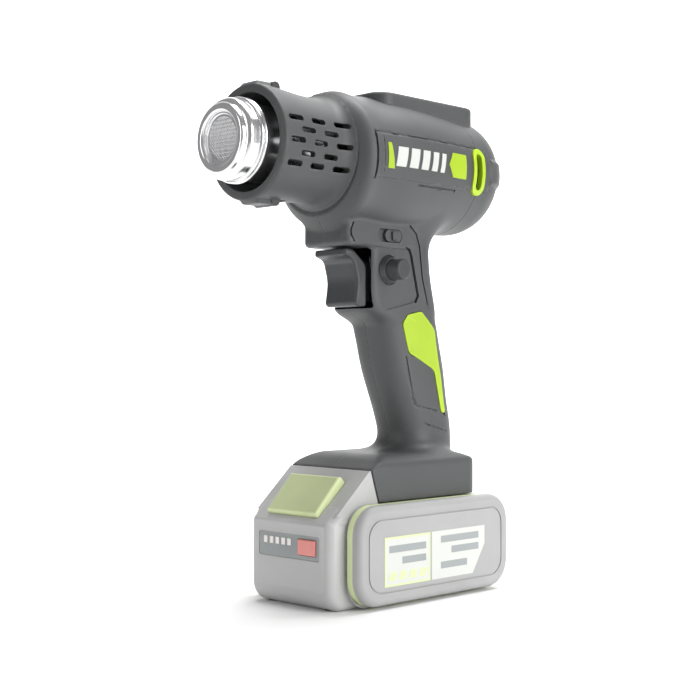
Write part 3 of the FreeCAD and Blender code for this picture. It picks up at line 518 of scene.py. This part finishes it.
def build_housing():
    low = (-47, -0.5, 49)
    high = (NOSE_JOINT, 36, 252)
    left = moulded("shell_left", clamshell(1), low, high)
    right = moulded("shell_right", clamshell(-1), (low[0], -36, low[2]), (high[0], 0.5, high[2]))
    sleeve = moulded("vented_sleeve", sleeve_distance, (NOSE_JOINT, -30, AIR_Z - 30),
                     (SHROUD_FRONT, 30, AIR_Z + 30))
    cap = moulded("rear_dome", cap_distance, (REAR_X - 2, -34, 183), (SEAM_X, 34, 251))
    rest = moulded("flat_rest", rest_distance, (plate_low[0], -TOP_HALF, 238),
                   (plate_high[0], TOP_HALF, TOP_Z))
    pairs = ((left, "housing_left"), (right, "housing_right"), (sleeve, "front_shroud"),
             (cap, "rear_cap"), (rest, "top_plate"))
    for piece, node in pairs:
        slot = "shroud_plastic" if node == "front_shroud" else "charcoal_plastic"
        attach(piece, "tool")
        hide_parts(node)
        finish_with(piece, slot)


# Plates and marks ---------------------------------------------------------------------------
def prisms(name, outlines, y0, y1):
    """Flat plates from convex (x, z) outlines, between two y planes."""
    points = []
    faces = []
    for outline in outlines:
        first = len(points)
        count = len(outline)
        points += [(x, y0, z) for x, z in outline] + [(x, y1, z) for x, z in outline]
        faces.append([first + i for i in range(count)])
        faces.append([first + count + i for i in reversed(range(count))])
        for i in range(count):
            j = (i + 1) % count
            faces.append([first + j, first + i, first + count + i, first + count + j])
    piece = make_piece(name, points, faces)
    if signed_volume(points, faces) < 0:
        piece.data.flip_normals()
    return piece


def signed_volume(points, faces):
    total = 0.0
    for face in faces:
        a = Vector(points[face[0]])
        for i in range(1, len(face) - 1):
            total += a.dot(Vector(points[face[i]]).cross(Vector(points[face[i + 1]])))
    return total


def slanted_bar(x0, x1, z0, z1, lean):
    return [(x0 + lean, z0), (x1 + lean, z0), (x1 - lean, z1), (x0 - lean, z1)]


MARK_LIME = [
    [(29.0, 211.0), (24.6, 211.0), (26.6, 223.4), (29.0, 223.4)],
    [(-18.5, 211.0), (-29.6, 211.0), (-29.6, 223.4), (-18.5, 223.4), (-15.0, 217.2)],
]
MARK_WHITE = [slanted_bar(x0, x0 + width, 212.4, 222.0, 0.9)
              for x0, width in ((16.4, 6.6), (8.2, 6.0), (0.6, 5.2), (-6.2, 4.2), (-12.0, 3.2))]


def conforming(outlines, side):
    """Field of thin marks that lie on the barrel's raised side band."""
    def distance(x, y, z):
        flat = np.minimum.reduce([polygon(x, z, outline) for outline in outlines])
        skin = np.abs(barrel_form(x, y, z) - 0.45) - 0.3
        return np.maximum(np.maximum(flat, skin), 20 - side * y)
    return distance


def build_marks():
    for side, word in ((1, "left"), (-1, "right")):
        low, high = sorted((side * 29.0, side * 35.5))
        for outlines, slot, kind in ((MARK_WHITE, "label_white", "white"),
                                     (MARK_LIME, "lime_plastic", "lime")):
            piece = moulded("side_mark_%s_%s" % (kind, word), conforming(outlines, side),
                            (-30, low, 210.5), (29.5, high, 224), FINE_CELL)
            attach(piece, "tool")
            finish_with(piece, slot)
            if kind == "white":
                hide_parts("label_plate_" + word)


def frame_strips(x0, x1, z0, z1, width):
    """Four strips round a rectangle."""
    return [[(x0, z0), (x1, z0), (x1, z0 + width), (x0, z0 + width)],
            [(x0, z1 - width), (x1, z1 - width), (x1, z1), (x0, z1)],
            [(x0, z0 + width), (x0 + width, z0 + width), (x0 + width, z1 - width), (x0, z1 - width)],
            [(x1 - width, z0 + width), (x1, z0 + width), (x1, z1 - width), (x1 - width, z1 - width)]]


def build_pack_labels():
    for side, word in ((1, "left"), (-1, "right")):
        face_y = side * 38.0
        square = [(3.9, 10.6), (36.4, 10.6), (36.4, 34.2), (3.9, 34.2)]
        field = [(2.6, 10.6), (2.6, 34.2), (-37.9, 34.2), (-37.9, 25.0), (-28.5, 10.6)]
        base = prisms("pack_label_%s" % word, [square, field], face_y, face_y + side * 0.05)
        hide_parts("side_label_" + word)
        edge = frame_strips(3.9, 36.4, 10.6, 34.2, 1.0)
        edge += [slanted_bar(x0, x0 + 4.6, 13.4, 17.4, 0.8) for x0 in (7.0, 14.2, 21.4, 28.6)]
        lime = prisms("pack_label_lime_%s" % word, edge, face_y, face_y + side * 0.11)
        rows = [[(x0, z0), (x1, z0), (x1, z0 + 3.4), (x0, z0 + 3.4)]
                for x0, x1, z0 in ((7.0, 33.2, 26.6), (7.0, 24.0, 20.8), (-33.0, -4.0, 28.2),
                                   (-33.0, -12.0, 22.6), (-24.0, -4.0, 15.4))]
        grey = prisms("pack_label_grey_%s" % word, rows, face_y, face_y + side * 0.11)
        for piece, slot in ((base, "label_white"), (lime, "pack_lime"), (grey, "gauge_plastic")):
            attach(piece, "battery")
            finish_with(piece, slot)


# Woven guard in the nozzle --------------------------------------------------------------------
def tube_mesh(line, radius, points, faces, sides=6):
    """Adds a closed tube with capped ends along a line of points."""
    line = [Vector(place) for place in line]
    first = len(points)
    for index, place in enumerate(line):
        ahead = line[min(index + 1, len(line) - 1)] - line[max(index - 1, 0)]
        ahead.normalize()
        across = ahead.cross(Vector((1, 0, 0))).normalized()
        up = across.cross(ahead)
        for step in range(sides):
            angle = 2 * math.pi * step / sides
            points.append(tuple(place + (across * math.cos(angle) + up * math.sin(angle)) * radius))
    for ring in range(len(line) - 1):
        for step in range(sides):
            a = first + ring * sides + step
            b = first + ring * sides + (step + 1) % sides
            faces.append([a, b, b + sides, a + sides])
    last = first + (len(line) - 1) * sides
    faces.append([first + step for step in reversed(range(sides))])
    faces.append([last + step for step in range(sides)])


def build_weave():
    """Fine diagonal wire cloth on a rim, in place of the coarse guard."""
    pitch = 1.25
    wire = 0.30
    reach = 11.3
    middle_x = TIP_X - 3.0
    points = []
    faces = []
    half = math.sqrt(0.5)
    for family in (0, 1):
        for count in range(-8, 9):
            offset = count * pitch
            span = math.sqrt(max(reach ** 2 - offset ** 2, 0))
            steps = max(4, int(2 * span / (pitch / 3)))
            line = []
            for step in range(steps + 1):
                along = -span + 2 * span * step / steps
                phase = math.pi * (along / pitch + count + family)
                height = middle_x + 0.27 * math.cos(phase) * (1 if family else -1)
                u, v = (along, offset) if family else (offset, along)
                line.append((height, (u - v) * half, AIR_Z + (u + v) * half))
            tube_mesh(line, wire, points, faces)
    ring = []
    turns = 72
    for corner_x, corner_r in ((-0.5, 10.6), (0.5, 10.6), (0.5, 11.6), (-0.5, 11.6)):
        ring.append((middle_x + corner_x, corner_r))
    first = len(points)
    for turn in range(turns):
        angle = 2 * math.pi * turn / turns
        for x, radius in ring:
            points.append((x, radius * math.cos(angle), AIR_Z + radius * math.sin(angle)))
    for turn in range(turns):
        for edge in range(4):
            a = first + turn * 4 + edge
            b = first + turn * 4 + (edge + 1) % 4
            c = first + ((turn + 1) % turns) * 4 + (edge + 1) % 4
            d = first + ((turn + 1) % turns) * 4 + edge
            faces.append([a, d, c, b])
    piece = make_piece("woven_guard", points, faces, 50)
    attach(piece, "tool")
    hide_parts("nozzle_mesh")
    finish_with(piece, "mesh_steel")


# Materials ------------------------------------------------------------------------------
def new_material(name):
    material = bpy.data.materials.new(name)
    material.use_nodes = True
    nodes = material.node_tree.nodes
    return material, nodes, material.node_tree.links, nodes["Principled BSDF"]


def noise(nodes, links, scale, detail=4.0, roughness=0.6):
    coordinates = nodes.new("ShaderNodeTexCoord")
    texture = nodes.new("ShaderNodeTexNoise")
    texture.inputs["Scale"].default_value = scale
    texture.inputs["Detail"].default_value = detail
    texture.inputs["Roughness"].default_value = roughness
    links.new(coordinates.outputs["Object"], texture.inputs["Vector"])
    return texture


def ramp(nodes, links, source, stops):
    node = nodes.new("ShaderNodeValToRGB")
    elements = node.color_ramp.elements
    while len(elements) < len(stops):
        elements.new(0.5)
    for element, (place, color) in zip(elements, stops):
        element.position = place
        element.color = (*color, 1)
    links.new(source, node.inputs["Fac"])
    return node.outputs["Color"]


def shade(color, factor):
    return tuple(min(1.0, channel * factor) for channel in color)


def moulded_plastic(name, color, roughness, grain=0.10, edge_highlight=1.5, grain_scale=2600):
    """Fine spark-eroded texture, slow tone and gloss variation, and convex edges lightened as a painted
    highlight.
    """
    material, nodes, links, shader = new_material(name)
    slow = noise(nodes, links, 22, 3)
    base = ramp(nodes, links, slow.outputs["Fac"], [(0.3, shade(color, 0.93)), (0.7, shade(color, 1.08))])
    geometry = nodes.new("ShaderNodeNewGeometry")
    # Painted highlight: convex edges, found by pointiness, are mixed towards a lighter copy of the colour
    edge = ramp(nodes, links, geometry.outputs["Pointiness"], [(0.515, (0, 0, 0)), (0.6, (1, 1, 1))])
    mix = nodes.new("ShaderNodeMix")
    mix.data_type = "RGBA"
    mix.inputs["B"].default_value = (*shade(color, edge_highlight), 1)
    links.new(edge, mix.inputs["Factor"])
    links.new(base, mix.inputs["A"])
    links.new(mix.outputs["Result"], shader.inputs["Base Color"])
    gloss = ramp(nodes, links, slow.outputs["Fac"],
                 [(0.3, (roughness - 0.05,) * 3), (0.7, (roughness + 0.06,) * 3)])
    links.new(gloss, shader.inputs["Roughness"])
    fine = noise(nodes, links, grain_scale, 2)
    bump = nodes.new("ShaderNodeBump")
    bump.inputs["Strength"].default_value = grain
    bump.inputs["Distance"].default_value = 0.0002
    links.new(fine.outputs["Fac"], bump.inputs["Height"])
    links.new(bump.outputs["Normal"], shader.inputs["Normal"])
    shader.inputs["Specular IOR Level"].default_value = 0.45
    return material


def turned_metal(name, color, low, high, streak=900, bump_strength=0.05):
    """Polished metal with fine marks round the turning axis along X."""
    material, nodes, links, shader = new_material(name)
    shader.inputs["Metallic"].default_value = 1.0
    coordinates = nodes.new("ShaderNodeTexCoord")
    stretch = nodes.new("ShaderNodeMapping")
    stretch.inputs["Scale"].default_value = (streak, 8, 8)
    links.new(coordinates.outputs["Object"], stretch.inputs["Vector"])
    marks = nodes.new("ShaderNodeTexNoise")
    marks.inputs["Scale"].default_value = 1.0
    marks.inputs["Detail"].default_value = 3
    links.new(stretch.outputs["Vector"], marks.inputs["Vector"])
    gloss = ramp(nodes, links, marks.outputs["Fac"], [(0.3, (low,) * 3), (0.75, (high,) * 3)])
    links.new(gloss, shader.inputs["Roughness"])
    slow = noise(nodes, links, 60, 3)
    tone = ramp(nodes, links, slow.outputs["Fac"], [(0.3, shade(color, 0.94)), (0.7, shade(color, 1.04))])
    links.new(tone, shader.inputs["Base Color"])
    bump = nodes.new("ShaderNodeBump")
    bump.inputs["Strength"].default_value = bump_strength
    bump.inputs["Distance"].default_value = 0.0001
    links.new(marks.outputs["Fac"], bump.inputs["Height"])
    links.new(bump.outputs["Normal"], shader.inputs["Normal"])
    return material


LIME = (0.36, 0.52, 0.02)
SLOT_FINISH = {
    "charcoal_plastic": lambda n: moulded_plastic(n, (0.066, 0.068, 0.070), 0.50, 0.16, 1.4),
    "shroud_plastic": lambda n: moulded_plastic(n, (0.062, 0.064, 0.066), 0.52, 0.14, 1.4),
    "control_plastic": lambda n: moulded_plastic(n, (0.042, 0.044, 0.047), 0.42, 0.10, 1.6),
    "lime_plastic": lambda n: moulded_plastic(n, LIME, 0.38, 0.06, 1.15),
    "lime_rubber": lambda n: moulded_plastic(n, LIME, 0.55, 0.18, 1.12, 1800),
    "nozzle_steel": lambda n: turned_metal(n, (0.86, 0.86, 0.87), 0.10, 0.26),
    "mesh_steel": lambda n: turned_metal(n, (0.78, 0.78, 0.79), 0.18, 0.34, 300),
    "heater_steel": lambda n: turned_metal(n, (0.62, 0.62, 0.62), 0.25, 0.42, 400),
    "mica": lambda n: moulded_plastic(n, (0.62, 0.56, 0.44), 0.6, 0.3, 1.1, 700),
    "wire_alloy": lambda n: turned_metal(n, (0.42, 0.36, 0.31), 0.35, 0.5, 500),
    "bronze": lambda n: turned_metal(n, (0.62, 0.42, 0.20), 0.3, 0.45, 500),
    "nylon": lambda n: moulded_plastic(n, (0.09, 0.09, 0.095), 0.5, 0.1, 1.2),
    "circuit_board": lambda n: moulded_plastic(n, (0.02, 0.16, 0.07), 0.35, 0.1, 1.2, 900),
    "fin_aluminium": lambda n: turned_metal(n, (0.75, 0.75, 0.76), 0.3, 0.45, 500),
    "lead_sleeve": lambda n: moulded_plastic(n, (0.35, 0.03, 0.02), 0.45, 0.1, 1.1),
    "spring_steel": lambda n: turned_metal(n, (0.6, 0.6, 0.62), 0.25, 0.35, 700),
    "screw_steel": lambda n: turned_metal(n, (0.09, 0.09, 0.095), 0.35, 0.5, 700),
    "contact_copper": lambda n: turned_metal(n, (0.80, 0.48, 0.28), 0.25, 0.4, 700),
    "label_white": lambda n: moulded_plastic(n, (0.60, 0.61, 0.58), 0.35, 0.03, 1.02),
    "pack_plastic": lambda n: moulded_plastic(n, (0.46, 0.46, 0.46), 0.55, 0.10, 1.12),
    "pack_plate": lambda n: moulded_plastic(n, (0.36, 0.36, 0.36), 0.50, 0.08, 1.10),
    "pack_lime": lambda n: moulded_plastic(n, (0.55, 0.62, 0.34), 0.5, 0.08, 1.15),
    "gauge_plastic": lambda n: moulded_plastic(n, (0.27, 0.29, 0.29), 0.35, 0.05, 1.15),
    "gauge_red": lambda n: moulded_plastic(n, (0.80, 0.29, 0.26), 0.45, 0.06, 1.1),
    "gauge_lens": lambda n: moulded_plastic(n, (0.80, 0.76, 0.74), 0.3, 0.02, 1.05),
    "cell_metal": lambda n: turned_metal(n, (0.7, 0.7, 0.7), 0.3, 0.4, 300),
}
_made = {}


def finish(slot):
    if slot not in _made:
        _made[slot] = SLOT_FINISH[slot](slot)
    return _made[slot]


def finish_with(piece, slot):
    piece.data.materials.clear()
    piece.data.materials.append(finish(slot))


def finish_cad_nodes():
    """Every carried-over CAD node gets the finish of its slot."""
    for row in frame["record"]["subparts"]:
        node = frame["nodes"][row["node"]]
        for holder in node.material_slots:
            holder.material = finish(row["material_slot"])


# Stage ------------------------------------------------------------------------------------
def make_stage():
    sweep = [(2.5, 0.0), (-0.9, 0.0)]
    for step in range(1, 17):
        angle = math.radians(90 * step / 16)
        sweep.append((-0.9 - 0.8 * math.sin(angle), 0.8 - 0.8 * math.cos(angle)))
    sweep.append((-1.7, 3.0))
    half = math.sqrt(0.5)
    points = []
    for along, height in sweep:
        for across in (-3.5, 3.5):
            points.append(((along - across) * half, (along + across) * half, height))
    faces = [(2 * i, 2 * i + 1, 2 * i + 3, 2 * i + 2) for i in range(len(sweep) - 1)]
    floor_mesh = bpy.data.meshes.new("floor")
    floor_mesh.from_pydata(points, [], faces)
    floor_mesh.polygons.foreach_set("use_smooth", [True] * len(faces))
    floor = bpy.data.objects.new("floor", floor_mesh)
    bpy.context.scene.collection.objects.link(floor)
    material, nodes, links, shader = new_material("floor_pale")
    tone = ramp(nodes, links, noise(nodes, links, 3, 2).outputs["Fac"],
                [(0.3, (0.86, 0.86, 0.86)), (0.7, (0.88, 0.88, 0.88))])
    links.new(tone, shader.inputs["Base Color"])
    shader.inputs["Roughness"].default_value = 0.9
    floor.data.materials.append(material)
    world = bpy.data.worlds.new("studio")
    world.use_nodes = True
    world.node_tree.nodes["Background"].inputs["Color"].default_value = (1, 1, 1, 1)
    world.node_tree.nodes["Background"].inputs["Strength"].default_value = 0.30
    bpy.context.scene.world = world
    bpy.context.scene.view_settings.view_transform = "Standard"


def soft_light(name, place, target, size, power):
    data = bpy.data.lights.new(name, "AREA")
    data.shape = "RECTANGLE"
    data.size, data.size_y = size
    data.energy = power
    light = bpy.data.objects.new(name, data)
    light.location = place
    aim = Vector(target) - Vector(place)
    light.rotation_euler = aim.to_track_quat("-Z", "Y").to_euler()
    bpy.context.scene.collection.objects.link(light)


def make_lights():
    middle = (0.0, 0.0, 0.13)
    soft_light("key", (-0.25, 1.2, 0.35), middle, (0.8, 1.1), 15)
    soft_light("front", (1.2, -0.35, 0.35), middle, (0.25, 0.9), 3)
    soft_light("top", (-0.1, 0.1, 1.5), middle, (0.7, 0.7), 4)
    soft_light("wash", (-0.5, -0.1, 1.6), (-1.3, -1.3, 0.5), (1.2, 1.2), 60)


finish_cad_nodes()
build_housing()
build_marks()
build_pack_labels()
build_weave()
make_stage()
make_lights()
